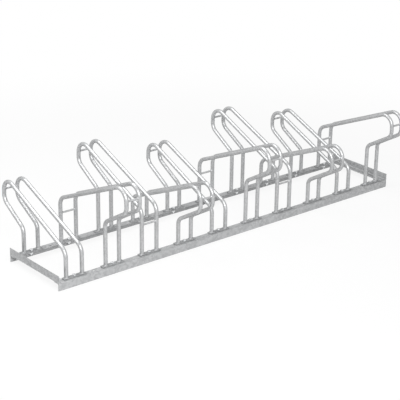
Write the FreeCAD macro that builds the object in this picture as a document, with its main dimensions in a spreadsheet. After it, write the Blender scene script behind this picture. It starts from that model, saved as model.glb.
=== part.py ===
import FreeCAD, Part
import math
import os

import Sketcher
from FreeCAD import Placement, Rotation, Vector

# Floor rack for ten bicycles. Two steel angles run along the floor and two short ones lie across
# their ends. Ten stands, each a pair of bent tubes, are bolted between the long angles and face
# front and back by turns, two low ones and then two high ones.
# The origin is on the floor under the middle of the frame. X runs along the rack, Y from the front
# rail to the back one, Z up. Lengths are millimetres.

SIZES = (
    # the frame
    ("stand_count", 10, "stands along the rack"),
    ("stand_pitch", 175, "from one stand to the next"),
    ("end_margin", 82.5, "from the last stand's middle to the rail's end"),
    ("frame_depth", 330, "over the two rails"),
    ("angle_width", 30, "each side of the steel angle"),
    ("angle_wall", 3, "thickness of the steel angle"),
    ("angle_root_radius", 5, "fillet inside the angle"),
    ("angle_toe_radius", 2, "rounding of the two free edges"),
    ("foot_inset", 20, "from a rail's outer face to the line of feet and bolts"),
    ("corner_bolt_inset", 17, "from an end angle's outer face to its bolts"),
    ("anchor_inset", 170, "from a rail's end to its floor fixing hole"),
    ("anchor_hole_diameter", 11, "floor fixing hole"),
    # a stand's bent tube, in its own plane, heights from the floor and reaches from the legs
    ("tube_diameter", 16, "across the flats of the tube's section"),
    ("round_sides", 12, "flats that stand for a round tube, bar or shank"),
    ("bend_step", 30, "degrees from one mitre of a bend to the next"),
    ("post_gap", 55, "clear width between the two posts"),
    ("leg_gap", 47, "clear width between the two legs"),
    ("shoulder_height", 139, "where the post's line meets the sloping bar's"),
    ("tip_height", 317, "where the sloping bar's line meets the nose's"),
    ("tip_overhang", 129, "reach of that corner past the legs"),
    ("nose_height", 211, "where the nose's line meets the return bar's"),
    ("nose_overhang", 133, "reach of that corner past the legs"),
    ("knee_height", 133, "where the return bar's line meets the leg's"),
    ("high_rise", 78, "how much higher these corners are on a high stand"),
    ("shoulder_radius", 41, "bend on the tube's middle line"),
    ("tip_radius", 44, "bend on the tube's middle line"),
    ("nose_radius", 40, "bend on the tube's middle line"),
    ("knee_radius", 33, "bend on the tube's middle line"),
    # the thin bars between the two tubes of a stand
    ("link_diameter", 8, "across the flats of the bar"),
    ("tip_link_height", 255, "bar that stops the wheel, on a low stand"),
    ("post_link_height", 155, "bar that carries the raised wheel, on a high stand"),
    # feet and fasteners
    ("foot_plate_length", 100, "along the rail"),
    ("foot_plate_width", 20, "across the rail's flange"),
    ("foot_plate_thickness", 4, "plate"),
    ("bolt_diameter", 8, "shank"),
    ("bolt_length", 20, "shank"),
    ("bolt_clearance", 1, "hole diameter less shank diameter"),
    ("hexagon_width", 13, "across the flats of bolt head and nut"),
    ("bolt_head_height", 5.3, "hexagon head"),
    ("nut_height", 6.5, "hexagon nut"),
    ("nut_clearance", 0.2, "nut bore less shank diameter"),
)


def make_sheet(document):
    """Spreadsheet with one row to a size: name, number, meaning."""
    sheet = document.addObject("Spreadsheet::Sheet", "Sizes")
    for row, (alias, value, meaning) in enumerate(SIZES, start=1):
        sheet.set(f"A{row}", alias)
        sheet.set(f"B{row}", str(value))
        sheet.set(f"C{row}", meaning)
        sheet.setAlias(f"B{row}", alias)
    document.recompute()
    return sheet


doc = FreeCAD.newDocument("floor_bike_rack")
sizes = make_sheet(doc)


def size(alias):
    """Number that the sheet holds under this name."""
    return float(sizes.get(alias))


# ---- places that follow from the sizes ------------------------------------------------------

STANDS = range(int(size("stand_count")))
RAIL_LENGTH = (len(STANDS) - 1) * size("stand_pitch") + 2 * size("end_margin")
HALF_LENGTH = RAIL_LENGTH / 2
HALF_DEPTH = size("frame_depth") / 2
FOOT_Y = HALF_DEPTH - size("foot_inset")
RAIL_TOP = size("angle_width")
FOOT_TOP = RAIL_TOP + size("foot_plate_thickness")
POST_HALF_SPACING = (size("post_gap") + size("tube_diameter")) / 2
LEG_HALF_SPACING = (size("leg_gap") + size("tube_diameter")) / 2
TOE_IN = math.atan2(POST_HALF_SPACING - LEG_HALF_SPACING, 2 * FOOT_Y)
LEG_REACH = 2 * FOOT_Y / math.cos(TOE_IN)


def is_high(stand):
    """Stands come in twos: low first, then high."""
    return stand % 4 in (1, 2)


def faces_back(stand):
    """Even stands lean over the back rail, odd ones over the front rail."""
    return stand % 2 == 0


def stand_placement(stand):
    """Where a stand's own frame sits: its wheel line runs along local +Y, posts first."""
    x = (stand - (len(STANDS) - 1) / 2) * size("stand_pitch")
    turn = 0 if faces_back(stand) else 180
    return Placement(Vector(x, 0, 0), Rotation(Vector(0, 0, 1), turn))


# ---- helpers for sketched bodies ------------------------------------------------------------

def new_body(label):
    body = doc.addObject("PartDesign::Body", label)
    body.Label = label
    return body


def sketch_on(body, plane, name):
    """Sketch attached to one of the body's own origin planes."""
    sketch = body.newObject("Sketcher::SketchObject", name)
    support = next(item for item in body.Origin.OriginFeatures if item.Role == plane)
    sketch.AttachmentSupport = [(support, "")]
    sketch.MapMode = "FlatFace"
    return sketch


def bind(sketch, kind, *where, expression):
    """Add a dimension to the sketch and tie it to the sheet."""
    start = float(doc_value(expression))
    index = sketch.addConstraint(Sketcher.Constraint(kind, *where, start))
    sketch.setExpression(f"Constraints[{index}]", expression)


def doc_value(expression):
    """What an expression of sheet names comes to now."""
    return sizes.evalExpression(expression.replace("Sizes.", ""))


BOLT_HOLE_CORNERS_RULE = (
    "(Sizes.bolt_diameter + Sizes.bolt_clearance) / cos(180deg / Sizes.round_sides)")


def add_circle(sketch, centre, diameter, construction=False):
    """Circle of a bound diameter."""
    radius = float(doc_value(diameter)) / 2
    circle = sketch.addGeometry(Part.Circle(centre, Vector(0, 0, 1), radius), construction)
    bind(sketch, "Diameter", circle, expression=diameter)
    return circle


def add_bolt_outline(sketch, centre):
    """Bolt hole with as many flats as the shank; returns the circle through its corners."""
    circle = add_circle(sketch, centre, BOLT_HOLE_CORNERS_RULE, construction=True)
    radius = float(doc_value(BOLT_HOLE_CORNERS_RULE)) / 2
    sides = int(size("round_sides"))
    corners = []
    for number in range(sides):
        angle = (number - 0.5) * 2 * math.pi / sides
        corners.append(centre + Vector(math.cos(angle), math.sin(angle)) * radius)
    flats = []
    for first, second in zip(corners, corners[1:] + corners[:1]):
        flats.append(sketch.addGeometry(Part.LineSegment(first, second)))
    for flat, following in zip(flats, flats[1:] + flats[:1]):
        sketch.addConstraint(Sketcher.Constraint("Coincident", flat, 2, following, 1))
        sketch.addConstraint(Sketcher.Constraint("PointOnObject", flat, 1, circle))
    for flat in flats[1:]:
        sketch.addConstraint(Sketcher.Constraint("Equal", flats[0], flat))
    sketch.addConstraint(Sketcher.Constraint("Vertical", flats[0]))
    return circle


def add_hole(sketch, along, across, diameter=None):
    """Hole whose centre has two bound distances from the axes: a bolt hole, or a round one."""
    centre = Vector(float(doc_value(along)), float(doc_value(across)), 0)
    if diameter is None:
        circle = add_bolt_outline(sketch, centre)
    else:
        circle = add_circle(sketch, centre, diameter)
    bind(sketch, "DistanceX", -1, 1, circle, 3, expression=along)
    bind(sketch, "DistanceY", -1, 1, circle, 3, expression=across)


def pocket_through(body, sketch, name):
    """Cut the sketch down through the flange and make sure that it took something away."""
    doc.recompute()
    before = body.Shape.Volume
    pocket = body.newObject("PartDesign::Pocket", name)
    pocket.Profile = sketch
    pocket.Type = "ThroughAll"
    doc.recompute()
    if body.Shape.Volume >= before:
        raise RuntimeError(f"{body.Label}: {name} cuts nothing")
    return pocket


# ---- the steel angles -----------------------------------------------------------------------

def angle_outline(sketch):
    """Rolled angle with its heel at the origin, one side along +X and the other along -Y.

    The inside corner has a fillet and the two free edges are rounded on the inside.
    """
    width = size("angle_width")
    wall = size("angle_wall")
    root = size("angle_root_radius")
    toe = size("angle_toe_radius")
    up = Vector(0, 0, 1)

    def line(x1, y1, x2, y2):
        return sketch.addGeometry(Part.LineSegment(Vector(x1, y1, 0), Vector(x2, y2, 0)))

    def arc(x, y, radius, first, last):
        circle = Part.Circle(Vector(x, y, 0), up, radius)
        return sketch.addGeometry(Part.ArcOfCircle(circle, math.radians(first), math.radians(last)))

    top = line(0, 0, width, 0)
    top_end = line(width, 0, width, toe - wall)
    top_toe = arc(width - toe, toe - wall, toe, -90, 0)
    underside = line(width - toe, -wall, wall + root, -wall)
    fillet = arc(wall + root, -wall - root, root, 90, 180)
    inside = line(wall, -wall - root, wall, toe - width)
    low_toe = arc(wall - toe, toe - width, toe, -90, 0)
    low_end = line(wall - toe, -width, 0, -width)
    outside = line(0, -width, 0, 0)

    start, end = 1, 2
    for first, second in ((top, top_end), (low_end, outside), (outside, top)):
        sketch.addConstraint(Sketcher.Constraint("Coincident", first, end, second, start))
    joins = (
        (top_end, end, top_toe, end),
        (top_toe, start, underside, start),
        (underside, end, fillet, start),
        (fillet, end, inside, start),
        (inside, end, low_toe, end),
        (low_toe, start, low_end, start),
    )
    for join in joins:
        sketch.addConstraint(Sketcher.Constraint("Tangent", *join))
    sketch.addConstraint(Sketcher.Constraint("Coincident", top, start, -1, 1))
    for level in (top, underside, low_end):
        sketch.addConstraint(Sketcher.Constraint("Horizontal", level))
    for upright in (outside, inside, top_end):
        sketch.addConstraint(Sketcher.Constraint("Vertical", upright))
    bind(sketch, "DistanceX", top, start, top, end, expression="Sizes.angle_width")
    bind(sketch, "DistanceY", outside, start, outside, end, expression="Sizes.angle_width")
    bind(sketch, "DistanceY", underside, start, top, start, expression="Sizes.angle_wall")
    bind(sketch, "DistanceX", outside, start, inside, end, expression="Sizes.angle_wall")
    bind(sketch, "Radius", fillet, expression="Sizes.angle_root_radius")
    bind(sketch, "Radius", top_toe, expression="Sizes.angle_toe_radius")
    bind(sketch, "Radius", low_toe, expression="Sizes.angle_toe_radius")


def make_angle(label, length):
    """Length of angle along +X: heel on the X axis, one side level to +Y, one side down."""
    body = new_body(label)
    profile = sketch_on(body, "YZ_Plane", f"{label}_profile")
    angle_outline(profile)
    pad = body.newObject("PartDesign::Pad", f"{label}_bar")
    pad.Profile = profile
    pad.setExpression("Length", length)
    return body


RAIL_LENGTH_RULE = "(Sizes.stand_count - 1) * Sizes.stand_pitch + 2 * Sizes.end_margin"


def make_rail(label, placement):
    """Rail with a bolt hole to a stand, one to an end angle, and two floor fixing holes."""
    body = make_angle(label, RAIL_LENGTH_RULE)

    first_hole = sketch_on(body, "XY_Plane", f"{label}_stand_hole")
    add_hole(first_hole, "Sizes.end_margin", "Sizes.foot_inset")
    pocket = pocket_through(body, first_hole, f"{label}_first_stand_hole")
    row = body.newObject("PartDesign::LinearPattern", f"{label}_stand_holes")
    row.Originals = [pocket]
    row.Direction = (first_hole, ["H_Axis"])
    row.setExpression("Length", "(Sizes.stand_count - 1) * Sizes.stand_pitch")
    row.setExpression("Occurrences", "Sizes.stand_count")
    body.Tip = row

    end_holes = sketch_on(body, "XY_Plane", f"{label}_end_holes")
    for inset, diameter in (
        ("Sizes.corner_bolt_inset", None),
        ("Sizes.anchor_inset", "Sizes.anchor_hole_diameter"),
    ):
        add_hole(end_holes, inset, "Sizes.foot_inset", diameter)
        add_hole(end_holes, f"{RAIL_LENGTH_RULE} - {inset}", "Sizes.foot_inset", diameter)
    pocket_through(body, end_holes, f"{label}_end_and_anchor_holes")
    body.Placement = placement
    return body


def make_end_angle(label, placement):
    """Angle that lies across the rails' ends, bolted to both."""
    body = make_angle(label, "Sizes.frame_depth")
    holes = sketch_on(body, "XY_Plane", f"{label}_holes")
    add_hole(holes, "Sizes.foot_inset", "Sizes.corner_bolt_inset")
    add_hole(holes, "Sizes.frame_depth - Sizes.foot_inset", "Sizes.corner_bolt_inset")
    pocket_through(body, holes, f"{label}_bolt_holes")
    body.Placement = placement
    return body


def make_frame():
    """The rails hang their outer side down to the floor; the end angles stand theirs up."""
    upright = Rotation(Vector(0, 0, 1), 0)
    turned = Rotation(Vector(0, 0, 1), 180)
    flipped = Rotation(Vector(1, 0, 0), 180)
    left = Rotation(Vector(0, 0, 1), 90).multiply(flipped)
    right = Rotation(Vector(0, 0, 1), -90).multiply(flipped)
    front_corner = Vector(-HALF_LENGTH, -HALF_DEPTH, RAIL_TOP)
    back_corner = Vector(HALF_LENGTH, HALF_DEPTH, RAIL_TOP)
    return [
        make_rail("front_rail", Placement(front_corner, upright)),
        make_rail("back_rail", Placement(back_corner, turned)),
        make_end_angle("left_end_angle", Placement(front_corner, left)),
        make_end_angle("right_end_angle", Placement(back_corner, right)),
    ]


# ---- the bent tubes -------------------------------------------------------------------------

def hoop_corners(rise):
    """Corners of a hoop's middle line in the YZ plane, from the post's foot to the leg's."""
    points = (
        (0, FOOT_TOP),
        (0, size("shoulder_height") + rise),
        (LEG_REACH + size("tip_overhang"), size("tip_height") + rise),
        (LEG_REACH + size("nose_overhang"), size("nose_height") + rise),
        (LEG_REACH, size("knee_height") + rise),
        (LEG_REACH, FOOT_TOP),
    )
    return [Vector(0, y, z) for y, z in points]


def bend_mitres(before, corner, after, radius):
    """Points of a bend of this radius, laid out so that the straight cuts between them touch the
    arc; neighbouring cuts meet in a mitre."""
    into = (corner - before).normalize()
    out = (after - corner).normalize()
    turn = into.getAngle(out)
    inward = (out - into * into.dot(out)).normalize()
    start = corner - into * (radius * math.tan(turn / 2))
    centre = start + inward * radius
    count = max(2, round(math.degrees(turn) / size("bend_step")))
    distance = radius / math.cos(turn / count / 2)
    mitres = []
    for step in range(count):
        angle = (step + 0.5) * turn / count
        offset = into * math.sin(angle) - inward * math.cos(angle)
        mitres.append(centre + offset * distance)
    return mitres


def hoop_path(name, rise):
    """Middle line of a hoop as one open wire."""
    corners = hoop_corners(rise)
    radii = [size(f"{corner}_radius") for corner in ("shoulder", "tip", "nose", "knee")]
    points = [corners[0]]
    for before, corner, after, radius in zip(corners, corners[1:], corners[2:], radii):
        points += bend_mitres(before, corner, after, radius)
    points.append(corners[-1])
    path = doc.addObject("Part::Feature", name)
    path.Shape = Part.makePolygon(points)
    return path


def tube_section():
    """Outline of the tube at the post's foot, flats facing along and across the rack."""
    section = doc.addObject("Part::RegularPolygon", "tube_section")
    section.setExpression("Polygon", "Sizes.round_sides")
    section.setExpression(
        "Circumradius", "Sizes.tube_diameter / 2 / cos(180deg / Sizes.round_sides)")
    half_side = 180 / size("round_sides")
    section.Placement = Placement(Vector(0, 0, FOOT_TOP), Rotation(Vector(0, 0, 1), half_side))
    return section


def hoop_placement(stand, side):
    """Side -1 is the hoop on the rack's left of its stand, +1 the one on the right.

    The posts stand wider apart than the legs, so each hoop turns a little about its post.
    """
    local_side = side if faces_back(stand) else -side
    post = Vector(local_side * POST_HALF_SPACING, -FOOT_Y, 0)
    turn = Rotation(Vector(0, 0, 1), local_side * math.degrees(TOE_IN))
    return stand_placement(stand).multiply(Placement(post, turn))


def make_hoop(label, section, path, placement):
    """One bent tube, from foot to foot."""
    hoop = doc.addObject("Part::Sweep", label)
    hoop.Label = label
    hoop.Sections = [section]
    edges = [f"Edge{number + 1}" for number in range(len(path.Shape.Edges))]
    hoop.Spine = (path, edges)
    hoop.Solid = True
    hoop.Transition = "Right corner"
    hoop.Placement = placement
    return hoop


# ---- the thin bars between the tubes --------------------------------------------------------

def nose_reach_at(height, rise):
    """Reach from the post, on the nose's line, at a height."""
    tip, nose = hoop_corners(rise)[2:4]
    share = (tip.z - height) / (tip.z - nose.z)
    return tip.y + (nose.y - tip.y) * share


def make_link(label, stand, reach, height, hoops):
    """Bar from tube to tube, square to the wheel line, its ends fitted to the tubes."""
    half_spacing = POST_HALF_SPACING - reach * math.sin(TOE_IN)
    bar = make_prism(f"{label}_bar", "Sizes.round_sides", "Sizes.link_diameter", str(2 * half_spacing))
    centre_y = reach * math.cos(TOE_IN) - FOOT_Y
    along = Rotation(Vector(0, 1, 0), 90)
    start = Placement(Vector(-half_spacing, centre_y, height), along)
    bar.Placement = stand_placement(stand).multiply(start)
    fitted = bar
    for side, hoop in zip(("left", "right"), hoops):
        trimmed = doc.addObject("Part::Cut", f"{label}_{side}_fit")
        trimmed.Base = fitted
        trimmed.Tool = hoop
        fitted = trimmed
    fitted.Label = label
    return fitted


def make_stand(stand, section, paths):
    """Two hoops and the bars between them."""
    number = f"{stand + 1:02d}"
    high = is_high(stand)
    rise = size("high_rise") if high else 0
    path = paths[high]
    hoops = [
        make_hoop(f"hoop_left_{number}", section, path, hoop_placement(stand, -1)),
        make_hoop(f"hoop_right_{number}", section, path, hoop_placement(stand, 1)),
    ]
    tip_height = size("tip_link_height") + rise
    reach = nose_reach_at(tip_height, rise)
    links = [make_link(f"tip_link_{number}", stand, reach, tip_height, hoops)]
    if high:
        links.append(
            make_link(f"post_link_{number}", stand, 0, size("post_link_height"), hoops))
    return hoops + links


# ---- feet and fasteners ---------------------------------------------------------------------

def rail_seats():
    """Places of the foot bolts on the rails' top, two to a stand."""
    seats = []
    for stand in STANDS:
        x = stand_placement(stand).Base.x
        seats.append([Vector(x, side * FOOT_Y, RAIL_TOP) for side in (-1, 1)])
    return seats


def corner_seats():
    """Places of the corner bolts on the rails' top."""
    x = HALF_LENGTH - size("corner_bolt_inset")
    return [Vector(end * x, side * FOOT_Y, RAIL_TOP) for end in (-1, 1) for side in (-1, 1)]


def make_foot_plate_body():
    """Flat plate, centred, its underside at the origin, with a hole for the bolt."""
    body = new_body("foot_plate")
    outline = sketch_on(body, "XY_Plane", "foot_plate_outline")
    half = Vector(size("foot_plate_length") / 2, size("foot_plate_width") / 2, 0)
    corners = [Vector(-half.x, -half.y), Vector(half.x, -half.y), half, Vector(-half.x, half.y)]
    for first, second in zip(corners, corners[1:] + corners[:1]):
        outline.addGeometry(Part.LineSegment(first, second))
    for side in range(4):
        outline.addConstraint(Sketcher.Constraint("Coincident", side, 2, (side + 1) % 4, 1))
        kind = "Horizontal" if side % 2 == 0 else "Vertical"
        outline.addConstraint(Sketcher.Constraint(kind, side))
    outline.addConstraint(Sketcher.Constraint("Symmetric", 0, 1, 2, 1, -1, 1))
    bind(outline, "DistanceX", 0, 1, 0, 2, expression="Sizes.foot_plate_length")
    bind(outline, "DistanceY", 1, 1, 1, 2, expression="Sizes.foot_plate_width")
    hole = add_bolt_outline(outline, Vector(0, 0, 0))
    outline.addConstraint(Sketcher.Constraint("Coincident", hole, 3, -1, 1))
    pad = body.newObject("PartDesign::Pad", "foot_plate_pad")
    pad.Profile = outline
    pad.setExpression("Length", "Sizes.foot_plate_thickness")
    doc.recompute()
    return body


def make_prism(name, sides, width, height):
    """Regular prism on the origin, of a width across its flats."""
    prism = doc.addObject("Part::Prism", name)
    prism.setExpression("Polygon", sides)
    prism.setExpression("Circumradius", f"({width}) / 2 / cos(180deg / {sides})")
    prism.setExpression("Height", height)
    return prism


def hang(prism, height):
    """Let the prism hang down from the origin by its own height."""
    prism.setExpression("Placement.Base.z", f"-{height}")


def make_bolt():
    """Hexagon bolt, the underside of its head at the origin and its shank down."""
    head = make_prism("bolt_head", "6", "Sizes.hexagon_width", "Sizes.bolt_head_height")
    shank = make_prism("bolt_shank", "Sizes.round_sides", "Sizes.bolt_diameter", "Sizes.bolt_length")
    hang(shank, "Sizes.bolt_length")
    bolt = doc.addObject("Part::Fuse", "bolt")
    bolt.Base = head
    bolt.Tool = shank
    return bolt


def make_nut():
    """Hexagon nut, its seat at the origin and its body below."""
    bore_width = "Sizes.bolt_diameter + Sizes.nut_clearance"
    block = make_prism("nut_block", "6", "Sizes.hexagon_width", "Sizes.nut_height")
    bore = make_prism("nut_bore", "Sizes.round_sides", bore_width, "Sizes.nut_height")
    for prism in (block, bore):
        hang(prism, "Sizes.nut_height")
    nut = doc.addObject("Part::Cut", "nut")
    nut.Base = block
    nut.Tool = bore
    return nut


def make_group(label, pattern, seats):
    """Copies of one piece, each a separate solid, as one sub-part."""
    copies = []
    for seat in seats:
        copy = pattern.Shape.copy()
        copy.translate(seat)
        copies.append(copy)
    group = doc.addObject("Part::Feature", label)
    group.Label = label
    group.Shape = Part.makeCompound(copies)
    return group


def make_fastenings():
    """Foot plates, bolts and nuts."""
    plate = make_foot_plate_body()
    bolt = make_bolt()
    nut = make_nut()
    doc.recompute()
    feet = rail_seats()
    pieces = []
    for number, pair in enumerate(feet, start=1):
        pieces.append(make_group(f"foot_plates_{number:02d}", plate, pair))
    foot_bolts = [seat for pair in feet for seat in pair]
    over_plate = Vector(0, 0, size("foot_plate_thickness"))
    over_end = Vector(0, 0, size("angle_wall"))
    under_flange = Vector(0, 0, -size("angle_wall"))
    pieces += [
        make_group("foot_bolts", bolt, [seat + over_plate for seat in foot_bolts]),
        make_group("corner_bolts", bolt, [seat + over_end for seat in corner_seats()]),
        make_group("foot_nuts", nut, [seat + under_flange for seat in foot_bolts]),
        make_group("corner_nuts", nut, [seat + under_flange for seat in corner_seats()]),
    ]
    return pieces


# ---- the whole rack -------------------------------------------------------------------------

def make_rack():
    section = tube_section()
    paths = {
        False: hoop_path("low_hoop_path", 0),
        True: hoop_path("high_hoop_path", size("high_rise")),
    }
    pieces = make_frame()
    for stand in STANDS:
        pieces += make_stand(stand, section, paths)
    pieces += make_fastenings()
    doc.recompute()
    return pieces


def check(pieces):
    for item in doc.Objects:
        if "Invalid" in item.State or "Error" in item.State:
            raise RuntimeError(f"{item.Label} did not build: {item.State}")
    for piece in pieces:
        if piece.Shape.isNull() or not piece.Shape.isValid() or not piece.Shape.Solids:
            raise RuntimeError(f"{piece.Label} has no valid solid")


def write(pieces):
    os.makedirs("parts", exist_ok=True)
    for piece in pieces:
        piece.Shape.exportStep(os.path.join("parts", f"{piece.Label}.step"))


rack = make_rack()
check(rack)
write(rack)
print(len(rack), "sub-parts written")
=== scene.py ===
"""Looks of a floor rack for ten bicycles, built round its construction model.

Lengths are metres, in the frame of that model: X along the rack, Y from the front rail to the back
one, Z up from the floor. The smooth bent tubes, thin bars, foot plates, fasteners and weld beads
are made here; the four steel angles keep their shape and get their finish.
"""
import math

import bpy
import numpy as np
from mathutils import Matrix, Vector


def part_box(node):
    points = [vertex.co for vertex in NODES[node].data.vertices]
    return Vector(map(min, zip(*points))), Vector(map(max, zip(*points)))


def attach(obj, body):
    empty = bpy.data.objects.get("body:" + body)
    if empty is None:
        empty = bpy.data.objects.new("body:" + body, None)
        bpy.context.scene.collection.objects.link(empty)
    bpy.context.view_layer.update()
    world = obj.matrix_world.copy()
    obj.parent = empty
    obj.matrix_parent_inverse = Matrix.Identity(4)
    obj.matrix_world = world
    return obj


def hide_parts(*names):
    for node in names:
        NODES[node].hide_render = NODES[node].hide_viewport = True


bl_info = {
    "name": "Floor bike rack",
    "version": (1, 0, 0),
    "blender": (4, 5, 0),
    "location": "3D View > Sidebar > Bike rack",
    "description": "Galvanised tube stands, welds, fasteners and studio for a floor bike rack",
    "category": "Object",
}

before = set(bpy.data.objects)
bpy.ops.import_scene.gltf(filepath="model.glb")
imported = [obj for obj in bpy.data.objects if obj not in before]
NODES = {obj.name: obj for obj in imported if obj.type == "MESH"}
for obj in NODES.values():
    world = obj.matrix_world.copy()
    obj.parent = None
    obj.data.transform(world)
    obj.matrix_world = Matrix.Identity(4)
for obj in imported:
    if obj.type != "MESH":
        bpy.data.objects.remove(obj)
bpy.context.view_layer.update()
BODY = "root"
STAND_NUMBERS = sorted(name[-2:] for name in NODES if name.startswith("foot_plates_"))


# ---- sizes and colours that a user would change ----------------------------------------------

def length(name, default, description):
    return bpy.props.FloatProperty(
        name=name, default=default, description=description, unit="LENGTH", precision=4)


def angle(name, degrees, description):
    return bpy.props.FloatProperty(
        name=name, default=math.radians(degrees), description=description, subtype="ANGLE")


def colour(name, default, description):
    return bpy.props.FloatVectorProperty(
        name=name, default=default, description=description, subtype="COLOR", size=4,
        min=0.0, max=1.0)


def point(name, default, description):
    return bpy.props.FloatVectorProperty(
        name=name, default=default, description=description, subtype="TRANSLATION", size=3)


def number(name, default, description):
    return bpy.props.FloatProperty(name=name, default=default, description=description)


def count(name, default, description):
    return bpy.props.IntProperty(name=name, default=default, description=description, min=1)


class TubeSizes(bpy.types.PropertyGroup):
    """Bent tube of a stand, in its own plane; heights from the floor, reaches past the legs."""
    diameter: length("Diameter", 0.016, "Outer diameter of the tube")
    post_gap: length("Post gap", 0.055, "Clear width between the two posts")
    leg_gap: length("Leg gap", 0.047, "Clear width between the two legs")
    shoulder_height: length("Shoulder height", 0.139, "Corner over the post")
    tip_height: length("Tip height", 0.317, "Upper corner of the nose")
    tip_overhang: length("Tip overhang", 0.129, "Reach of the nose's upper corner")
    nose_height: length("Nose height", 0.211, "Lower corner of the nose")
    nose_overhang: length("Nose overhang", 0.133, "Reach of the nose's lower corner")
    knee_height: length("Knee height", 0.133, "Corner over the leg")
    shoulder_radius: length("Shoulder radius", 0.041, "Bend on the tube's middle line")
    tip_radius: length("Tip radius", 0.044, "Bend on the tube's middle line")
    nose_radius: length("Nose radius", 0.040, "Bend on the tube's middle line")
    knee_radius: length("Knee radius", 0.033, "Bend on the tube's middle line")
    flattening: number("Flattening", 0.035, "Share by which a bend narrows in its own plane")
    widening: number("Widening", 0.4, "Share of the flattening that widens the bend sideways")
    sides: count("Sides", 40, "Points round the tube")
    bend_rings: count("Bend rings", 16, "Steps along each bend")


class LinkSizes(bpy.types.PropertyGroup):
    """Thin round bars welded between the two tubes of a stand."""
    diameter: length("Diameter", 0.008, "Diameter of the bar")
    weld_width: length("Weld width", 0.0028, "How far the weld climbs on bar and tube")
    weld_ripple: length("Weld ripple", 0.00022, "Height of the weld's ripples")
    ripples: count("Ripples", 11, "Ripples round a weld")
    sides: count("Sides", 32, "Points round the bar")


class FootSizes(bpy.types.PropertyGroup):
    """Foot plates and the welds that hold the tubes on them."""
    edge_radius: length("Edge radius", 0.0009, "Rounding of the plate's edges")
    corner_radius: length("Corner radius", 0.0016, "Rounding of the plate's corners")
    hole_diameter: length("Hole", 0.009, "Bolt hole")
    weld_height: length("Weld height", 0.0042, "How far the bead climbs up the tube")
    weld_width: length("Weld width", 0.0040, "How far the bead reaches over the plate")
    weld_ripple: length("Weld ripple", 0.00019, "Height of the bead's ripples")
    ripples: count("Ripples", 26, "Ripples round a foot")
    weld_margin: length("Weld margin", 0.0004, "Bare strip between the bead and the plate's edge")


class FastenerSizes(bpy.types.PropertyGroup):
    """Hexagon bolts and nuts."""
    width: length("Width", 0.013, "Across the flats")
    head_height: length("Head height", 0.0053, "Height of the bolt's head")
    nut_height: length("Nut height", 0.0065, "Height of the nut")
    shank: length("Shank", 0.008, "Outer diameter of the thread")
    shank_length: length("Shank length", 0.020, "Length under the head")
    pitch: length("Pitch", 0.00125, "Rise of the thread in one turn")
    thread_depth: length("Thread depth", 0.0007, "Depth of the thread")
    chamfer: angle("Chamfer", 30.0, "Slope of the hexagon's cut corners")
    chamfer_start: number("Chamfer start", 0.95, "Where the slope begins, in half widths")


class Finish(bpy.types.PropertyGroup):
    """Colours and surface of the metal."""
    galvanised: colour("Galvanised", (0.485, 0.49, 0.495, 1.0), "Hot-dip zinc, lighter crystals")
    galvanised_dark: colour("Spangle", (0.41, 0.415, 0.42, 1.0), "Hot-dip zinc, darker crystals")
    edge_tint: colour("Edge tint", (0.35, 0.35, 0.35, 1.0), "Reflection at a grazing angle")
    angle_steel: colour("Angles", (0.445, 0.45, 0.455, 1.0), "Zinc of the steel angles, lighter")
    angle_dark: colour("Angle spangle", (0.355, 0.36, 0.365, 1.0), "Darker crystals there")
    # Painted shade: the foot plates' zinc and its crystals are darker than the tubes' so that they
    # stand for the shade round the feet. Only the plates' duller gloss is their own.
    plate: colour("Foot plates", (0.36, 0.365, 0.37, 1.0), "Duller zinc of the foot plates")
    plate_dark_painted_shade: colour("Plate spangle", (0.28, 0.285, 0.29, 1.0), "Darker crystals there")
    bright_zinc: colour("Bright zinc", (0.80, 0.81, 0.82, 1.0), "Plated bolts and nuts")
    bright_dark: colour("Bright zinc grain", (0.71, 0.72, 0.73, 1.0), "Darker grain of the plating")
    # Painted shade: the foot welds' zinc is darker than the tubes' so that it stands for the shade
    # round the feet. Their dark crystals use the plates' painted shade tone.
    weld: colour("Weld", (0.38, 0.385, 0.39, 1.0), "Zinc over the welds")
    spangle: number("Spangle size", 150.0, "Crystals to a metre")
    roughness: number("Roughness", 0.34, "Of the galvanised surface")
    metallic: number("Metal share", 0.55, "The rest is the dull skin that zinc grows")
    angle_metallic: number("Metal share of the angles", 0.25, "They are duller than the tubes")


class Studio(bpy.types.PropertyGroup):
    """Camera, floor and lamps."""
    camera_place: point("Camera place", (-3.3325, -3.9047, 2.1428), "Where the camera stands")
    azimuth: angle("Azimuth", 39.929, "Turn of the view from +Y towards +X")
    elevation: angle("Elevation", 21.744, "How far the camera looks down")
    roll: angle("Roll", 0.825, "Tilt of the camera about its line of sight")
    focal_length: number("Focal length", 121.04, "In millimetres, for a 36 mm frame")
    floor_radius: length("Floor radius", 40.0, "Of the pale floor")
    floor_drop: length("Floor drop", 0.0005, "Gap that keeps the floor clear of the rails")
    sky: number("Sky", 0.3, "Light from all round")
    key: number("Key lamp", 185.0, "Power of the large square lamp at the front left")
    key_size: length("Key lamp size", 2.5, "Side of the key lamp")
    key_place: point("Key lamp place", (-1.9, -3.5, 2.6), "Middle of the key lamp")
    key_target: point("Key lamp target", (0.0, 0.0, 0.1), "Point that the key lamp faces")
    softbox: number("Softbox", 44.0, "Power of the long lamp that hangs over the rack")
    softbox_length: length("Softbox length", 3.2, "Along the rack")
    softbox_width: length("Softbox width", 1.0, "Across the rack")
    softbox_place: point("Softbox place", (-1.2, 0.5, 2.2), "Middle of the softbox")
    softbox_target: point("Softbox target", (-1.2, 0.5, 0.0), "Point that the softbox faces")
    glow: number("Floor glow", 0.87, "Share of the floor's own white, where the rest shows shadow")
    glow_near: length("Glow from", 0.9, "Distance where the floor's own white begins to rise")
    glow_far: length("Glow to", 2.4, "Distance where the floor is wholly white")


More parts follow.
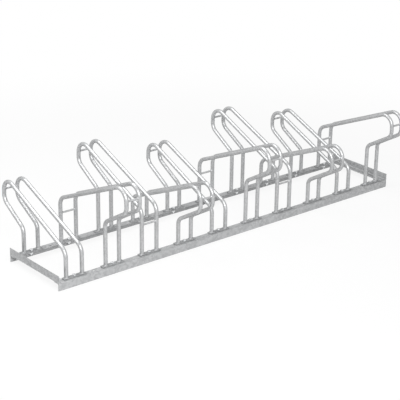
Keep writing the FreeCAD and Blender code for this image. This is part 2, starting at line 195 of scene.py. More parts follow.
class RackSettings(bpy.types.PropertyGroup):
    """All settings of the rack."""
    tube: bpy.props.PointerProperty(type=TubeSizes, name="Tubes", description="Bent tubes")
    link: bpy.props.PointerProperty(type=LinkSizes, name="Bars", description="Thin bars")
    foot: bpy.props.PointerProperty(type=FootSizes, name="Feet", description="Plates and welds")
    fastener: bpy.props.PointerProperty(
        type=FastenerSizes, name="Fasteners", description="Bolts and nuts")
    finish: bpy.props.PointerProperty(type=Finish, name="Finish", description="Metal surfaces")
    studio: bpy.props.PointerProperty(type=Studio, name="Studio", description="Camera and light")


def settings():
    return bpy.context.scene.bike_rack


# ---- surfaces --------------------------------------------------------------------------------

SMOOTH_LIMIT = math.radians(40)  # faces that meet at more than this keep a sharp edge
FASTENER_LIMIT = math.radians(25)  # the same for bolts and nuts, whose chamfers are flat


def angles_round(points):
    """Angles of this many points, evenly round a circle."""
    return np.linspace(0, 2 * math.pi, points, endpoint=False)


def surface(points, close_rows=False, cap_start=False, cap_end=False):
    """Vertices and faces of a grid of points, rows by columns, closed round its columns.

    Row i, column j joins row i + 1 and column j + 1 as one four-sided face. With close_rows the
    last row joins the first. A cap is a fan from the mean point of the first or the last row.
    """
    rows, columns = points.shape[:2]
    row = np.arange(rows if close_rows else rows - 1)[:, None]
    column = np.arange(columns)[None, :]
    next_row = (row + 1) % rows
    next_column = (column + 1) % columns
    corners = (
        row * columns + column,
        row * columns + next_column,
        next_row * columns + next_column,
        next_row * columns + column,
    )
    quads = np.stack(corners, axis=-1).reshape(-1, 4)
    vertices = [points.reshape(-1, 3)]
    triangles = [np.zeros((0, 3), int)]
    ring = np.arange(columns)
    for wanted, end, turn in ((cap_start, 0, 1), (cap_end, rows - 1, -1)):
        if not wanted:
            continue
        centre = sum(len(part) for part in vertices)
        vertices.append(points[end].mean(axis=0, keepdims=True))
        rim = (end * columns + ring, end * columns + np.roll(ring, -1))[::turn]
        triangles.append(np.stack([np.full(columns, centre), rim[1], rim[0]], axis=-1))
    return np.concatenate(vertices), quads, np.concatenate(triangles)


def revolve(rows, t, close_rows=False, cap_start=False, cap_end=False):
    """Surface through rows of (radius, z) at the angles t.

    The rows go in last first, so that the faces look outwards when the rows run from the top down.
    """
    grid = [np.stack([r * np.cos(t), r * np.sin(t), z + 0 * t], axis=-1) for r, z in rows]
    return surface(np.stack(grid)[::-1], close_rows, cap_start=cap_end, cap_end=cap_start)


def joined(surfaces):
    """Several surfaces as one list of vertices and faces."""
    vertices, quads, triangles = [], [], []
    start = 0
    for points, fours, threes in surfaces:
        vertices.append(points)
        quads.append(fours + start)
        triangles.append(threes + start)
        start += len(points)
    return np.concatenate(vertices), np.concatenate(quads), np.concatenate(triangles)


def moved(part, offset):
    """Surface moved by an offset."""
    points, quads, triangles = part
    return points + np.asarray(offset), quads, triangles


def new_object(name, part, material, sharp=SMOOTH_LIMIT):
    """Mesh object from a surface, smooth but for its sharp edges."""
    points, quads, triangles = part
    mesh = bpy.data.meshes.new(name)
    mesh.vertices.add(len(points))
    mesh.vertices.foreach_set("co", points.astype(np.float32).ravel())
    loops = np.concatenate([quads.ravel(), triangles.ravel()])
    mesh.loops.add(len(loops))
    mesh.loops.foreach_set("vertex_index", loops.astype(np.int32))
    sizes = np.concatenate([np.full(len(quads), 4), np.full(len(triangles), 3)])
    starts = np.concatenate([[0], np.cumsum(sizes)[:-1]])
    mesh.polygons.add(len(sizes))
    mesh.polygons.foreach_set("loop_start", starts.astype(np.int32))
    mesh.polygons.foreach_set("use_smooth", np.ones(len(sizes), bool))
    mesh.update(calc_edges=True)
    mesh.set_sharp_from_angle(angle=sharp)
    mesh.validate()
    mesh.materials.append(material)
    item = bpy.data.objects.new(name, mesh)
    bpy.context.scene.collection.objects.link(item)
    return item


def new_piece(name, part, material, replaces=(), sharp=SMOOTH_LIMIT):
    """Piece of the rack from a surface, in place of the nodes that it replaces, if any."""
    piece = new_object(name, part, material, sharp)
    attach(piece, BODY)
    if replaces:
        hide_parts(*replaces)


# ---- where things are ------------------------------------------------------------------------

def first_plates():
    """Corners of the box round the first stand's two foot plates."""
    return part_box("foot_plates_" + STAND_NUMBERS[0])


def plate_size():
    """Length along X, width along Y and thickness of one foot plate.

    Its inner edge is flush with the edge of the rail's flange.
    """
    low, high = first_plates()
    flange_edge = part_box("front_rail")[1].y
    return high.x - low.x, flange_edge - low.y, high.z - low.z


def foot_lines():
    """Y of the feet on the front rail and of those on the back rail."""
    low, high = first_plates()
    half_width = plate_size()[1] / 2
    return low.y + half_width, high.y - half_width


def deck():
    """Height of the foot plates' top, where the tubes stand."""
    return first_plates()[1].z


def stand_place(stand):
    """Middle of a stand along X, and +1 if it leans over the back rail, -1 if over the front."""
    low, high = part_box("foot_plates_" + stand)
    hoop_low, hoop_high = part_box("hoop_left_" + stand)
    facing = 1 if hoop_high.y > -hoop_low.y else -1
    return (low.x + high.x) / 2, facing


def stand_rise(stand):
    """How much higher this stand's tubes reach than the lowest stand's."""
    tops = {name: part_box("hoop_left_" + name)[1].z for name in STAND_NUMBERS}
    return tops[stand] - min(tops.values())


def feet_of(stand):
    """The four feet as rows (x, y): posts left and right, then legs left and right."""
    tube = settings().tube
    x, facing = stand_place(stand)
    front, back = foot_lines()
    post_y, leg_y = (front, back) if facing > 0 else (back, front)
    post = (tube.post_gap + tube.diameter) / 2
    leg = (tube.leg_gap + tube.diameter) / 2
    return np.array([(x - post, post_y), (x + post, post_y), (x - leg, leg_y), (x + leg, leg_y)])


# ---- bent tubes ------------------------------------------------------------------------------

def bent_path(corners, radii, rings):
    """Points, directions and bend weight along a line of straight runs and tangent arcs.

    At each corner the arc of the given radius starts radius * tan(turn / 2) before the corner.
    Along the arc a point is centre + radius * (into * sin a - inward * cos a), with a from 0 to
    the turn, and its direction is into * cos a + inward * sin a. The weight is sin(pi a / turn)
    on an arc and 0 on a run.
    """
    first = corners[1] - corners[0]
    places = [corners[:1]]
    directions = [(first / np.linalg.norm(first))[None]]
    weights = [np.zeros(1)]
    for before, corner, after, radius in zip(corners, corners[1:], corners[2:], radii):
        into = (corner - before) / np.linalg.norm(corner - before)
        out = (after - corner) / np.linalg.norm(after - corner)
        turn = math.acos(float(np.clip(into @ out, -1, 1)))
        inward = out - into * (into @ out)
        inward /= np.linalg.norm(inward)
        centre = corner - into * radius * math.tan(turn / 2) + inward * radius
        a = np.linspace(0, turn, rings)[:, None]
        places.append(centre + radius * (into * np.sin(a) - inward * np.cos(a)))
        directions.append(into * np.cos(a) + inward * np.sin(a))
        weights.append(np.sin(math.pi * a[:, 0] / turn))
    last = corners[-1] - corners[-2]
    places.append(corners[-1:])
    directions.append((last / np.linalg.norm(last))[None])
    weights.append(np.zeros(1))
    return np.concatenate(places), np.concatenate(directions), np.concatenate(weights)


def tube_corners(rise, reach):
    """Corners of a hoop's middle line in its own plane, post foot first."""
    tube = settings().tube
    points = (
        (0, deck()),
        (0, tube.shoulder_height + rise),
        (reach + tube.tip_overhang, tube.tip_height + rise),
        (reach + tube.nose_overhang, tube.nose_height + rise),
        (reach, tube.knee_height + rise),
        (reach, deck()),
    )
    return np.array([(0, y, z) for y, z in points], float)


def hoop_surface(post, leg, rise):
    """Round tube from the post's foot to the leg's.

    Ring at each point of the path: point + radius * (side * cos t * wide + normal * sin t * thin),
    where side is square to the hoop's plane, normal is square to the path in that plane, and a
    bend is a little thinner in its plane and wider across it.
    """
    tube = settings().tube
    across = np.array([leg[0] - post[0], leg[1] - post[1]])
    reach = float(np.linalg.norm(across))
    radii = (tube.shoulder_radius, tube.tip_radius, tube.nose_radius, tube.knee_radius)
    places, directions, weights = bent_path(tube_corners(rise, reach), radii, tube.bend_rings)
    side = np.array([1.0, 0.0, 0.0])
    normal = np.cross(side, directions)
    t = angles_round(tube.sides)[None, :, None]
    thin = (1 - tube.flattening * weights)[:, None, None]
    wide = (1 + tube.widening * tube.flattening * weights)[:, None, None]
    ring = side * np.cos(t) * wide + normal[:, None, :] * np.sin(t) * thin
    points = places[:, None, :] + tube.diameter / 2 * ring
    turn = math.atan2(across[1], across[0]) - math.pi / 2
    spin = np.array(Matrix.Rotation(turn, 3, "Z"))
    points = points @ spin.T + np.array([post[0], post[1], 0.0])
    return surface(points, cap_start=True, cap_end=True)


# ---- thin bars -------------------------------------------------------------------------------

BAR_END = 0.85  # from the end of a bar to the middle line of its tube, in tube radii
WELD_RINGS = 7  # rings from the plain bar to where the weld ends
WELD_SUNK = 1.25  # a last ring lies inside the tube, this many weld widths from the plain bar
WELD_LEAN = 3  # radians that a ripple turns between the first ring and the last


def link_surface(low, high, seed):
    """Round bar along X whose ends flare into a weld that lies on the tubes.

    A ring has radius r + weld * f * f, with f rising from 0 on the plain bar to 1 where the weld
    ends. Its X follows the tube's round side at that radius: half spacing less
    sqrt(R * R - (radius * cos t) ** 2), less (1 - f) of the weld's width. Ripples run round it.
    """
    link, tube = settings().link, settings().tube
    centre = (np.array(low) + np.array(high)) / 2
    tube_radius = tube.diameter / 2
    half_spacing = (high[0] - low[0]) / 2 + tube_radius * BAR_END
    sunk = np.append(np.linspace(0, 1, WELD_RINGS), WELD_SUNK)[:, None]
    f = np.minimum(sunk, 1.0)
    t = angles_round(link.sides)[None, :]
    ripple = link.weld_ripple * f * np.sin(link.ripples * t + seed + WELD_LEAN * f)
    radius = link.diameter / 2 + link.weld_width * f ** 2 + ripple
    on_tube = half_spacing - np.sqrt(tube_radius ** 2 - (radius * np.cos(t)) ** 2)
    x = on_tube - link.weld_width * (1 - sunk)
    right = np.stack([x, radius * np.cos(t), radius * np.sin(t)], axis=-1)
    left = right[::-1] * np.array([-1.0, 1.0, 1.0])
    points = np.concatenate([left, right]) + centre
    return surface(points, cap_start=True, cap_end=True)


# ---- foot plates and their welds -------------------------------------------------------------

ROUNDING_POINTS = 5  # points along a quarter of a rounded edge or corner
SIDE_SPACING = 0.006  # points along a plate's straight side are about this far apart


def plate_outline(half_length, half_width, corner):
    """Points (x, y) round a rectangle whose corners are arcs, with more along its sides."""
    core = np.array([half_length - corner, half_width - corner])
    steps = np.linspace(0, math.pi / 2, ROUNDING_POINTS)
    arcs = []
    for quarter, sign in enumerate(((1, 1), (-1, 1), (-1, -1), (1, -1))):
        a = steps + quarter * math.pi / 2
        arcs.append(core * np.array(sign) + corner * np.stack([np.cos(a), np.sin(a)], axis=-1))
    arcs = np.concatenate(arcs)
    sides = []
    for start, end in zip(arcs, np.roll(arcs, -1, axis=0)):
        pieces = max(1, int(np.linalg.norm(end - start) / SIDE_SPACING))
        share = np.linspace(0, 1, pieces, endpoint=False)[:, None]
        sides.append(start + (end - start) * share)
    return np.concatenate(sides)


def plate_surface(size, foot):
    """Flat plate with a round hole, its edges rounded.

    The rows go from the hole's rim over the top, round the outer edge, under the plate and up the
    hole. A row of the rounded edge is outline + outward * inset, with inset -edge + edge * sin v
    and height thick - edge + edge * cos v above, and the same the other way up below.
    """
    length_x, width_y, thick = size
    edge = foot.edge_radius
    outline = plate_outline(length_x / 2, width_y / 2, foot.corner_radius)
    outward = outline / np.linalg.norm(outline, axis=1, keepdims=True)
    bearing = np.arctan2(outline[:, 1], outline[:, 0])
    hole = foot.hole_diameter / 2 * np.stack([np.cos(bearing), np.sin(bearing)], axis=-1)
    v = np.linspace(0, math.pi / 2, ROUNDING_POINTS)
    insets = np.concatenate([-edge + edge * np.sin(v), -edge + edge * np.cos(v)])
    heights = np.concatenate([thick - edge + edge * np.cos(v), edge - edge * np.sin(v)])
    rows = [np.column_stack([hole, np.full(len(hole), thick)])]
    for inset, z in zip(insets, heights):
        rows.append(np.column_stack([outline + outward * inset, np.full(len(hole), z)]))
    rows.append(np.column_stack([hole, np.zeros(len(hole))]))
    return surface(np.stack(rows)[::-1], close_rows=True)


BEAD_ROWS = 8  # rows from the plate to the top of the bead
BEAD_CURVE = 1.4  # power that makes the bead's section hollow
BEAD_LEAN = 2.2  # radians that a ripple turns on its way up the bead
RIPPLE_POINTS = 6  # points round the foot to each ripple
BEAD_WANDER = (
    # height, waves round the foot, share of the seed: how the bead's edge strays
    (0.00035, 3, 1),
    (0.0002, 7, 2),
)
INNER_RING = 0.9  # closes the bead inside the tube, in radii of the bead's top
STAND_SEED = 1.7  # step of the seed from one stand to the next, so that no two beads are alike
NEARLY_ZERO = 1e-3


def foot_weld_surface(plate_half_width, foot, tube_radius, seed):
    """Ripple bead round a tube's foot, on the plate.

    The bead's section is hollow: at share v its radius is tube + reach * (1 - v) ** curve and its
    height climb * v ** curve. The reach is cut back where the plate's edge is near, and ripples
    of height sin(ripples * t + lean * v) run round it.
    """
    t = angles_round(foot.ripples * RIPPLE_POINTS)[None, :]
    v = np.linspace(0, 1, BEAD_ROWS)[:, None]
    edge = (plate_half_width - foot.weld_margin) / np.maximum(np.abs(np.sin(t)), NEARLY_ZERO)
    wander = sum(height * np.sin(waves * t + share * seed) for height, waves, share in BEAD_WANDER)
    reach = np.minimum(tube_radius + foot.weld_width + wander, edge) - tube_radius
    ripple = foot.weld_ripple * np.sin(math.pi * v)
    ripple = ripple * np.sin(foot.ripples * t + BEAD_LEAN * v + seed)
    radius = np.minimum(tube_radius + reach * (1 - v) ** BEAD_CURVE + ripple, edge)
    z = (foot.weld_height + wander) * v ** BEAD_CURVE + np.abs(ripple)
    ring = np.stack([radius * np.cos(t), radius * np.sin(t), z], axis=-1)
    inner = ring[-1:] * np.array([INNER_RING, INNER_RING, 1.0])
    base = ring[:1] * np.array([1.0, 1.0, 0.0])
    return surface(np.concatenate([base, ring, inner]), cap_start=True, cap_end=True)


# ---- bolts and nuts --------------------------------------------------------------------------

HEXAGON_POINTS = 48  # points round a hexagon
THREAD_POINTS = 24  # points round the shank
THREAD_ROWS = 5  # rows to one turn of the thread
CHAMFER_ROWS = (0.0, 0.35, 0.7, 1.0)  # shares of the way from the flat end to the hexagon's side
HEAD_MIDDLE = 0.0015  # radius of the innermost row on a bolt's head
PLAIN_SHARE = 0.45  # share of the shank's length without a thread
SHANK_CHAMFER = 1.3  # cut at the shank's end, in thread depths
NUT_MOUTH = 1.08  # radius where the nut's countersink begins, in shank radii
BORE_INSET = 0.2  # how far the nut's bore reaches into the shank's thread, in thread depths


def hexagon_radius(t, width):
    """Distance from the middle of a hexagon, with a corner on X, to its side in direction t."""
    sector = t % (math.pi / 3) - math.pi / 6
    return width / 2 / np.cos(sector)


def hexagon_rows(t, z_flat, z_rim, inner, sizes):
    """Rows from the inner radius over a flat end, at z_flat, to halfway down the hexagon's side.

    From the chamfer's start outwards the end slopes by the chamfer's angle, towards z_rim.
    """
    flat = sizes.chamfer_start * sizes.width / 2
    side = hexagon_radius(t, sizes.width)
    drop = (side - flat) * math.tan(sizes.chamfer)
    away = 1 if z_flat > z_rim else -1
    rows = [(np.full_like(t, inner), np.full_like(t, z_flat))]
    for share in CHAMFER_ROWS:
        rows.append((flat + (side - flat) * share, z_flat - away * drop * share))
    rows.append((side, np.full_like(t, (z_flat + z_rim) / 2)))
    return rows


def shank_surface(bolt):
    """Shank down from the origin, its lower part threaded, its end chamfered.

    The thread's radius is outer - depth * |2 * frac(z / pitch + t / (2 pi)) - 1|.
    """
    t = angles_round(THREAD_POINTS)
    outer = bolt.shank / 2
    thread_start = bolt.shank_length * PLAIN_SHARE
    z = np.arange(thread_start, bolt.shank_length, bolt.pitch / THREAD_ROWS)[:, None]
    wave = np.abs(2 * ((z / bolt.pitch + t / (2 * math.pi)) % 1.0) - 1)
    chamfer = outer - bolt.thread_depth * SHANK_CHAMFER + bolt.shank_length - z
    radius = np.minimum(outer - bolt.thread_depth * wave, chamfer)
    points = np.stack([radius * np.cos(t), radius * np.sin(t), -z + 0 * t], axis=-1)
    top = points[:1] * np.array([1.0, 1.0, 0.0])
    return surface(np.concatenate([top, points])[::-1], cap_start=True, cap_end=True)


def bolt_surface(bolt):
    """Hexagon head on the origin, shank down."""
    t = angles_round(HEXAGON_POINTS)
    rows = hexagon_rows(t, bolt.head_height, 0.0, HEAD_MIDDLE, bolt)
    rows.append((hexagon_radius(t, bolt.width), np.zeros_like(t)))
    rows.append((np.full_like(t, bolt.shank / 2), np.zeros_like(t)))
    head = revolve(rows, t, cap_start=True, cap_end=True)
    return joined([head, shank_surface(bolt)])


def nut_surface(nut):
    """Hexagon nut hanging from the origin, both ends chamfered, with a countersunk bore."""
    t = angles_round(HEXAGON_POINTS)
    bore = np.full_like(t, nut.shank / 2 - nut.thread_depth * BORE_INSET)
    mouth = nut.shank / 2 * NUT_MOUTH
    rows = [(bore, np.full_like(t, -nut.thread_depth))]
    rows += hexagon_rows(t, 0.0, -nut.nut_height, mouth, nut)
    rows += hexagon_rows(t, -nut.nut_height, 0.0, mouth, nut)[::-1][1:]
    rows.append((bore, np.full_like(t, nut.thread_depth - nut.nut_height)))
    return revolve(rows, t, close_rows=True)


# ---- finishes --------------------------------------------------------------------------------

class Nodes:
    """Shorthand for the node tree of a material or a world."""

    def __init__(self, owner):
        owner.use_nodes = True
        self.tree = owner.node_tree
        self.tree.nodes.clear()

    def add(self, kind, **values):
        """New node; each value goes to its property of that name, or else to its socket."""
        node = self.tree.nodes.new(kind)
        for key, value in values.items():
            if hasattr(node, key):
                setattr(node, key, value)
            else:
                node.inputs[key.replace("_", " ")].default_value = value
        return node

    def link(self, source, output, target, target_input):
        self.tree.links.new(source.outputs[output], target.inputs[target_input])


PUSH_SHARE = 0.55  # the noise that pushes the crystals' edges is coarser than the crystals
PUSH = 0.006  # how far it pushes them
CLOUDS = {"Scale": 14.0, "Detail": 5.0, "Roughness": 0.6}  # darker and lighter patches
GRAIN = {"Scale": 900.0, "Detail": 4.0, "Roughness": 0.65}  # fine grain of the skin
WAVES = {"Scale": 95.0, "Detail": 2.0}  # waves that the zinc bath leaves
GRAIN_SHARE = 0.12  # height of the grain against that of the waves
RELIEF_HEIGHT = 0.0006
TONE_RANGE = (0.05, 0.42)  # where the darker tone ends and the lighter one begins
GLOSS_RANGE = (-0.04, 0.05)  # how much smoother and rougher than the mean a crystal may be


def crystal_cells(nodes, place, crystals):
    """Crystals as cells, each with its own red and green value, their edges pushed by noise."""
    push = nodes.add("ShaderNodeTexNoise", Scale=crystals * PUSH_SHARE, Detail=2.0)
    nodes.link(place, "Object", push, "Vector")
    shift = nodes.add("ShaderNodeMixRGB", blend_type="ADD", Fac=PUSH)
    nodes.link(place, "Object", shift, "Color1")
    nodes.link(push, "Color", shift, "Color2")
    cells = nodes.add("ShaderNodeTexVoronoi", feature="F1", Scale=crystals)
    nodes.link(shift, "Color", cells, "Vector")
    values = nodes.add("ShaderNodeSeparateColor")
    nodes.link(cells, "Color", values, "Color")
    return values


def crystal_paint(nodes, place, cells, light, dark):
    """Colour from dark to light, by each crystal's red value and cloudy patches."""
    clouds = nodes.add("ShaderNodeTexNoise", **CLOUDS)
    nodes.link(place, "Object", clouds, "Vector")
    blend = nodes.add("ShaderNodeMath", operation="MULTIPLY")
    nodes.link(cells, "Red", blend, 0)
    nodes.link(clouds, "Fac", blend, 1)
    paint = nodes.add("ShaderNodeValToRGB")
    for stop, position, tone in zip(paint.color_ramp.elements, TONE_RANGE, (dark, light)):
        stop.position = position
        stop.color = tone
    nodes.link(blend, "Value", paint, "Fac")
    return paint


def crystal_gloss(nodes, cells, roughness):
    """Roughness by each crystal's green value."""
    smoother, rougher = GLOSS_RANGE
    gloss = nodes.add(
        "ShaderNodeMapRange", To_Min=roughness + smoother, To_Max=roughness + rougher)
    nodes.link(cells, "Green", gloss, "Value")
    return gloss


def zinc_relief(nodes, place, bump):
    """Fine grain on a wavy skin."""
    grain = nodes.add("ShaderNodeTexNoise", **GRAIN)
    nodes.link(place, "Object", grain, "Vector")
    waves = nodes.add("ShaderNodeTexNoise", **WAVES)
    nodes.link(place, "Object", waves, "Vector")
    heights = nodes.add("ShaderNodeMath", operation="MULTIPLY_ADD")
    heights.inputs[1].default_value = GRAIN_SHARE
    nodes.link(grain, "Fac", heights, 0)
    nodes.link(waves, "Fac", heights, 2)
    relief = nodes.add("ShaderNodeBump", Strength=bump, Distance=RELIEF_HEIGHT)
    nodes.link(heights, "Value", relief, "Height")
    return relief


def metal(name, light, dark, roughness, crystals, bump, metallic):
    """Zinc surface in Object coordinates: crystals of two tones and a wavy, grainy skin."""
    material = bpy.data.materials.new(name)
    nodes = Nodes(material)
    place = nodes.add("ShaderNodeTexCoord")
    cells = crystal_cells(nodes, place, crystals)
    paint = crystal_paint(nodes, place, cells, light, dark)
    gloss = crystal_gloss(nodes, cells, roughness)
    relief = zinc_relief(nodes, place, bump)
    shader = nodes.add("ShaderNodeBsdfPrincipled", Metallic=metallic)
    shader.inputs["Specular Tint"].default_value = settings().finish.edge_tint
    nodes.link(paint, "Color", shader, "Base Color")
    nodes.link(gloss, "Result", shader, "Roughness")
    nodes.link(relief, "Normal", shader, "Normal")
    output = nodes.add("ShaderNodeOutputMaterial")
    nodes.link(shader, "BSDF", output, "Surface")
    return material


def recipe(name):
    """What metal() takes for the material of this name."""
    look = settings().finish
    recipes = {
        "galvanised": dict(
            light=look.galvanised, dark=look.galvanised_dark, metallic=look.metallic,
            roughness=look.roughness, crystals=look.spangle, bump=0.2),
        "bright_zinc": dict(
            light=look.bright_zinc, dark=look.bright_dark, metallic=0.9,
            roughness=0.26, crystals=900.0, bump=0.1),
        "angle_zinc": dict(
            light=look.angle_steel, dark=look.angle_dark, metallic=look.angle_metallic,
            roughness=0.45, crystals=look.spangle * 0.8, bump=0.25),
        # Foot plates: zinc darkened as painted shade round the feet. The higher roughness is the
        # plates' own duller finish.
        "plate_zinc_painted_shade": dict(
            light=look.plate, dark=look.plate_dark_painted_shade, metallic=look.metallic,
            roughness=0.5, crystals=look.spangle, bump=0.3),
        # Foot welds: zinc darkened as painted shade round the feet.
        "weld": dict(
            light=look.weld, dark=look.plate_dark_painted_shade, metallic=look.metallic,
            roughness=0.52, crystals=300.0, bump=0.7),
    }
    return recipes[name]


def finish(name):
    """The material of this name, made once."""
    return bpy.data.materials.get(name) or metal(name, **recipe(name))


# ---- floor, room, lamps and camera -----------------------------------------------------------

WHITE = (1.0, 1.0, 1.0, 1.0)
FLOOR_PAINT = (0.8, 0.8, 0.8, 1.0)
FLOOR_POINTS = 64  # points round the floor
FLOOR_MIDDLE = 1.0  # radius of the floor's inner ring of points
FRAME_WIDTH = 36.0  # of the camera's picture, in millimetres
VIEW_END = 200.0  # how far the camera sees


def seen_directly(nodes):
    """Node whose value is 1 for camera, glossy and transmission rays and 0 for the rest."""
    ray = nodes.add("ShaderNodeLightPath")
    found, output = ray, "Is Camera Ray"
    for name in ("Is Glossy Ray", "Is Transmission Ray"):
        either = nodes.add("ShaderNodeMath", operation="MAXIMUM")
        nodes.link(found, output, either, 0)
        nodes.link(ray, name, either, 1)
        found, output = either, "Value"
    return found


def floor_material(studio):
    """Pale floor: nearly white to the camera and in reflections, yet it keeps the rack's shadow.

    To those rays a share of it glows white, from most of it near the rack to all of it far away.
    The rest, and the whole floor to other rays, is pale paint, which the lamps light.
    """
    material = bpy.data.materials.new("pale_floor")
    nodes = Nodes(material)
    paint = nodes.add("ShaderNodeBsdfDiffuse", Color=FLOOR_PAINT)
    glow = nodes.add("ShaderNodeEmission", Color=WHITE)
    place = nodes.add("ShaderNodeTexCoord")
    distance = nodes.add("ShaderNodeVectorMath", operation="LENGTH")
    nodes.link(place, "Object", distance, 0)
    white = nodes.add(
        "ShaderNodeMapRange", interpolation_type="SMOOTHSTEP",
        From_Min=studio.glow_near, From_Max=studio.glow_far, To_Min=studio.glow)
    nodes.link(distance, "Value", white, "Value")
    share = nodes.add("ShaderNodeMath", operation="MULTIPLY")
    nodes.link(seen_directly(nodes), "Value", share, 0)
    nodes.link(white, "Result", share, 1)
    mix = nodes.add("ShaderNodeMixShader")
    nodes.link(share, "Value", mix, "Fac")
    nodes.link(paint, "BSDF", mix, 1)
    nodes.link(glow, "Emission", mix, 2)
    output = nodes.add("ShaderNodeOutputMaterial")
    nodes.link(mix, "Shader", output, "Surface")
    return material


def floor_surface(studio):
    """Round flat floor, just under the rails."""
    t = angles_round(FLOOR_POINTS)
    level = np.full_like(t, -studio.floor_drop)
    rows = [(np.full_like(t, radius), level) for radius in (studio.floor_radius, FLOOR_MIDDLE)]
    return revolve(rows, t, cap_end=True)


def studio_world(studio):
    """White room as the camera and reflections see it, and a softer one as a light."""
    world = bpy.data.worlds.new("studio")
    bpy.context.scene.world = world
    nodes = Nodes(world)
    lit = nodes.add("ShaderNodeBackground", Color=WHITE, Strength=studio.sky)
    white = nodes.add("ShaderNodeBackground", Color=WHITE)
    mix = nodes.add("ShaderNodeMixShader")
    nodes.link(seen_directly(nodes), "Value", mix, "Fac")
    nodes.link(lit, "Background", mix, 1)
    nodes.link(white, "Background", mix, 2)
    output = nodes.add("ShaderNodeOutputWorld")
    nodes.link(mix, "Shader", output, "Surface")


def area_lamp(name, place, target, size, power):
    """Soft lamp, its size a length and a width, that faces a point."""
    data = bpy.data.lights.new(name, "AREA")
    data.shape = "RECTANGLE"
    data.size, data.size_y = size
    data.energy = power
    lamp = bpy.data.objects.new(name, data)
    lamp.location = place
    lamp.rotation_euler = (Vector(target) - Vector(place)).to_track_quat("-Z", "Y").to_euler()
    bpy.context.scene.collection.objects.link(lamp)


def photo_camera(studio):
    """Camera whose axes are built from azimuth, elevation and roll."""
    flat = Vector((math.sin(studio.azimuth), math.cos(studio.azimuth), 0))
    forward = flat * math.cos(studio.elevation) - Vector((0, 0, math.sin(studio.elevation)))
    right = Vector((math.cos(studio.azimuth), -math.sin(studio.azimuth), 0))
    up = right.cross(forward)
    tilted_right = right * math.cos(studio.roll) + up * math.sin(studio.roll)
    tilted_up = up * math.cos(studio.roll) - right * math.sin(studio.roll)
    data = bpy.data.cameras.new("photo_camera")
    data.lens = studio.focal_length
    data.sensor_width = FRAME_WIDTH
    data.clip_end = VIEW_END
    camera = bpy.data.objects.new("photo_camera", data)
    turn = Matrix((tilted_right, tilted_up, -forward)).transposed().to_4x4()
    camera.matrix_world = Matrix.Translation(studio.camera_place) @ turn
    bpy.context.scene.collection.objects.link(camera)
    bpy.context.scene.camera = camera


# ---- operators: one to a group of pieces, and one for the studio -----------------------------

class RACK_OT_angles(bpy.types.Operator):
    """Give the four steel angles their zinc finish"""
    bl_idname = "rack.angles"
    bl_label = "Finish the steel angles"

    def execute(self, context):
        for name in ("front_rail", "back_rail", "left_end_angle", "right_end_angle"):
            for slot in NODES[name].material_slots:
                slot.material = finish("angle_zinc")
        return {"FINISHED"}


class RACK_OT_tubes(bpy.types.Operator):
    """Make the two bent tubes of every stand"""
    bl_idname = "rack.tubes"
    bl_label = "Bend the tubes"

    def execute(self, context):
        for stand in STAND_NUMBERS:
            feet = feet_of(stand)
            rise = stand_rise(stand)
            for index, side in enumerate(("left", "right")):
                hoop = hoop_surface(feet[index], feet[index + 2], rise)
                node = f"hoop_{side}_{stand}"
                new_piece(f"tube_{side}_{stand}", hoop, finish("galvanised"),
                          [node])
        return {"FINISHED"}


class RACK_OT_links(bpy.types.Operator):
    """Make the thin bars between the tubes, with their welds"""
    bl_idname = "rack.links"
    bl_label = "Make the thin bars"

    def execute(self, context):
        nodes = sorted(name for name in NODES if "_link_" in name)
        for index, node in enumerate(nodes):
            low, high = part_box(node)
            bar = link_surface(low, high, float(index))
            new_piece(f"{node}_bar", bar, finish("galvanised"), [node])
        return {"FINISHED"}


class RACK_OT_foot_plates(bpy.types.Operator):
    """Make the plates under the feet"""
    bl_idname = "rack.foot_plates"
    bl_label = "Make the foot plates"

    def execute(self, context):
        size = plate_size()
        plate = plate_surface(size, settings().foot)
        base = deck() - size[2]
        for stand in STAND_NUMBERS:
            x, _ = stand_place(stand)
            pair = [moved(plate, (x, y, base)) for y in foot_lines()]
            # The plates' material darkens them as painted shade round the feet.
            new_piece(f"foot_plate_pair_{stand}", joined(pair), finish("plate_zinc_painted_shade"),
                      ["foot_plates_" + stand])
        return {"FINISHED"}


class RACK_OT_foot_welds(bpy.types.Operator):
    """Lay the weld beads round the tubes' feet"""
    bl_idname = "rack.foot_welds"
    bl_label = "Weld the feet"

    def execute(self, context):
        radius = settings().tube.diameter / 2
        half_width = plate_size()[1] / 2
        for index, stand in enumerate(STAND_NUMBERS):
            beads = []
            for foot, (x, y) in enumerate(feet_of(stand)):
                seed = index * STAND_SEED + foot
                bead = foot_weld_surface(half_width, settings().foot, radius, seed)
                beads.append(moved(bead, (x, y, deck())))
            new_piece(f"foot_welds_{stand}", joined(beads), finish("weld"))
        return {"FINISHED"}


class RACK_OT_fasteners(bpy.types.Operator):
    """Make the hexagon bolts and nuts"""
    bl_idname = "rack.fasteners"
    bl_label = "Make bolts and nuts"

    def execute(self, context):
        sizes = settings().fastener
        bolt = bolt_surface(sizes)
        nut = nut_surface(sizes)
        corner_reach = sizes.width / math.sqrt(3)
        for kind in ("foot", "corner"):
            low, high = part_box(f"{kind}_bolts")
            seat = high.z - sizes.head_height
            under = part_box(f"{kind}_nuts")[1].z
            if kind == "foot":
                columns = [stand_place(stand)[0] for stand in STAND_NUMBERS]
            else:
                columns = [low.x + corner_reach, high.x - corner_reach]
            spots = [(x, y) for x in columns for y in foot_lines()]
            for name, part, z in (("bolts", bolt, seat), ("nuts", nut, under)):
                group = joined([moved(part, (x, y, z)) for x, y in spots])
                new_piece(f"{kind}_hex_{name}", group, finish("bright_zinc"),
                          [f"{kind}_{name}"], FASTENER_LIMIT)
        return {"FINISHED"}


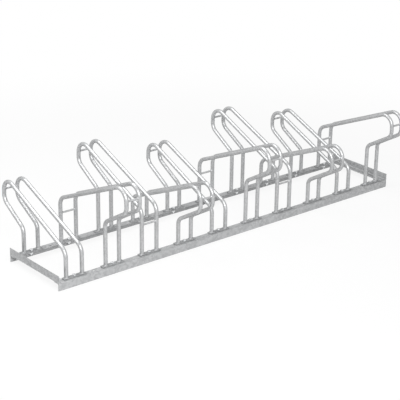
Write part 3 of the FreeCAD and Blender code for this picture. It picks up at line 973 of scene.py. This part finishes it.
class RACK_OT_stage(bpy.types.Operator):
    """Lay the pale floor and set up lamps, room and camera"""
    bl_idname = "rack.stage"
    bl_label = "Set up the studio"

    def execute(self, context):
        studio = settings().studio
        floor = new_object("floor", floor_surface(studio), floor_material(studio))
        studio_world(studio)
        area_lamp("key_lamp", studio.key_place, studio.key_target,
                  (studio.key_size, studio.key_size), studio.key)
        area_lamp("softbox", studio.softbox_place, studio.softbox_target,
                  (studio.softbox_length, studio.softbox_width), studio.softbox)
        photo_camera(studio)
        context.scene.view_settings.view_transform = "Standard"
        return {"FINISHED"}


STEPS = (
    RACK_OT_angles,
    RACK_OT_tubes,
    RACK_OT_links,
    RACK_OT_foot_plates,
    RACK_OT_foot_welds,
    RACK_OT_fasteners,
    RACK_OT_stage,
)


class RACK_PT_panel(bpy.types.Panel):
    """Sidebar panel with the rack's pieces and settings"""
    bl_idname = "RACK_PT_panel"
    bl_label = "Bike rack"
    bl_space_type = "VIEW_3D"
    bl_region_type = "UI"
    bl_category = "Bike rack"

    def draw(self, context):
        for step in STEPS:
            self.layout.operator(step.bl_idname)
        for group in ("tube", "link", "foot", "fastener", "finish", "studio"):
            box = self.layout.box()
            box.label(text=group.capitalize())
            values = getattr(context.scene.bike_rack, group)
            for name in values.bl_rna.properties.keys():
                if name not in ("rna_type", "name"):
                    box.prop(values, name)


GROUPS = (TubeSizes, LinkSizes, FootSizes, FastenerSizes, Finish, Studio, RackSettings)


def register():
    for item in GROUPS + STEPS + (RACK_PT_panel,):
        bpy.utils.register_class(item)
    bpy.types.Scene.bike_rack = bpy.props.PointerProperty(
        type=RackSettings, name="Bike rack", description="Sizes and finishes of the rack")


def unregister():
    del bpy.types.Scene.bike_rack
    for item in reversed(GROUPS + STEPS + (RACK_PT_panel,)):
        bpy.utils.unregister_class(item)


def main():
    register()
    bpy.ops.rack.angles()
    bpy.ops.rack.tubes()
    bpy.ops.rack.links()
    bpy.ops.rack.foot_plates()
    bpy.ops.rack.foot_welds()
    bpy.ops.rack.fasteners()
    bpy.ops.rack.stage()


if __name__ == "__main__":
    main()
